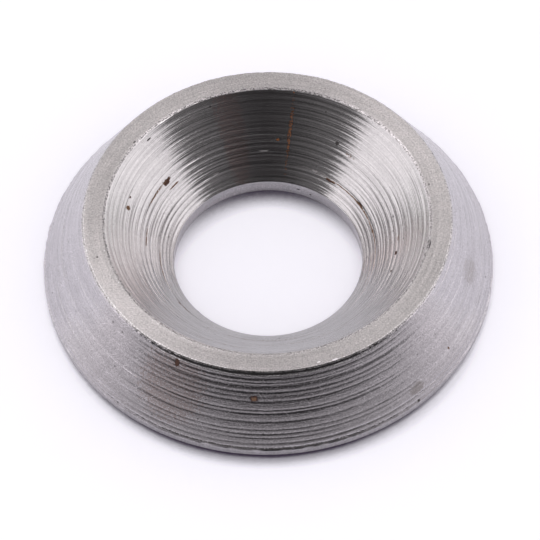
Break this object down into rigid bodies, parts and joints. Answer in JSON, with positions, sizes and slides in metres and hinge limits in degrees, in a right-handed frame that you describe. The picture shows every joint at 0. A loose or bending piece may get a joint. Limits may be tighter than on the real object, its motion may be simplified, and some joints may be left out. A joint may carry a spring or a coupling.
{
  "type": "cup washer",
  "caption": "Solid turned cup washer: a flared steel ring with a conical seat and a round hole, which carries a countersunk screw head on a flat surface.",
  "frame": {"origin": "middle of the screw hole, on the flat base plane", "axes": "+Z along the hole's axis, from the base towards the rim; X and Y lie in the base plane"},
  "size_m": [0.02, 0.02, 0.0037],
  "materials": {
    "turned_steel": "turned, with feed rings on the cones and a fine matt rim"
  },
  "bodies": {
    "root": {"cup_washer": "turned_steel"}
  },
  "joints": []
}
